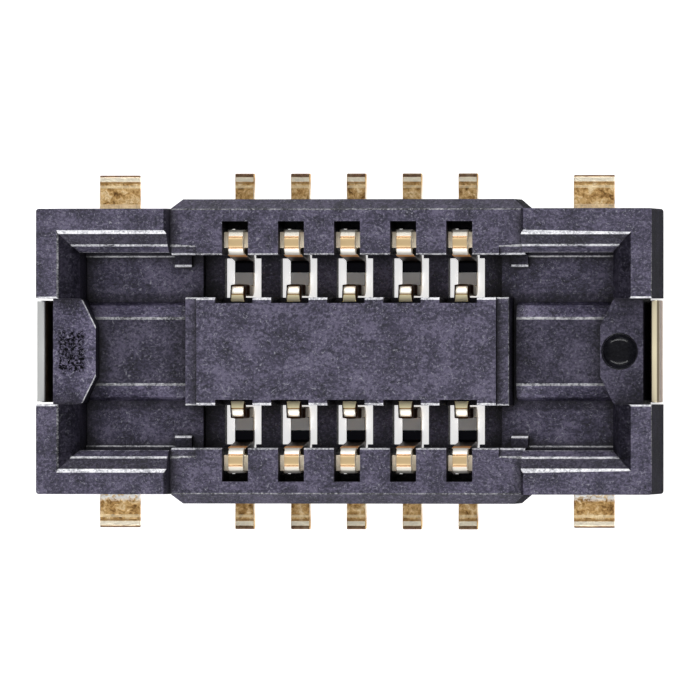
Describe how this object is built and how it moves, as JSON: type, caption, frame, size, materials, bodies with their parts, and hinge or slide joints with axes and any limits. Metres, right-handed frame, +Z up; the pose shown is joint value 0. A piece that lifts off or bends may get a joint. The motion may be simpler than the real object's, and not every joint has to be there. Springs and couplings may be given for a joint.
{
  "type": "board to board connector",
  "caption": "Fine-pitch board to board connector receptacle: black moulded housing, two rows of gold-plated spring contacts, metal hold-downs.",
  "frame": {"origin": "middle of the connector's footprint, on the circuit board's surface", "axes": "+X along the contact rows, +Y across them, +Z up from the board towards the mating half"},
  "size_m": [0.0044, 0.0026, 0.0008],
  "materials": {
    "housing_plastic": "matt black moulded resin with a faint violet-grey cast",
    "contact_gold": "bright gold plating over copper alloy",
    "hold_down_metal": "thin matt gold plating, a little rough"
  },
  "bodies": {
    "root": {"housing": "housing_plastic", "contact_back_1": "contact_gold", "contact_back_2": "contact_gold", "contact_back_3": "contact_gold", "contact_back_4": "contact_gold", "contact_back_5": "contact_gold", "contact_front_1": "contact_gold", "contact_front_2": "contact_gold", "contact_front_3": "contact_gold", "contact_front_4": "contact_gold", "contact_front_5": "contact_gold", "hold_down_left": "hold_down_metal", "hold_down_right": "hold_down_metal"}
  },
  "joints": []
}
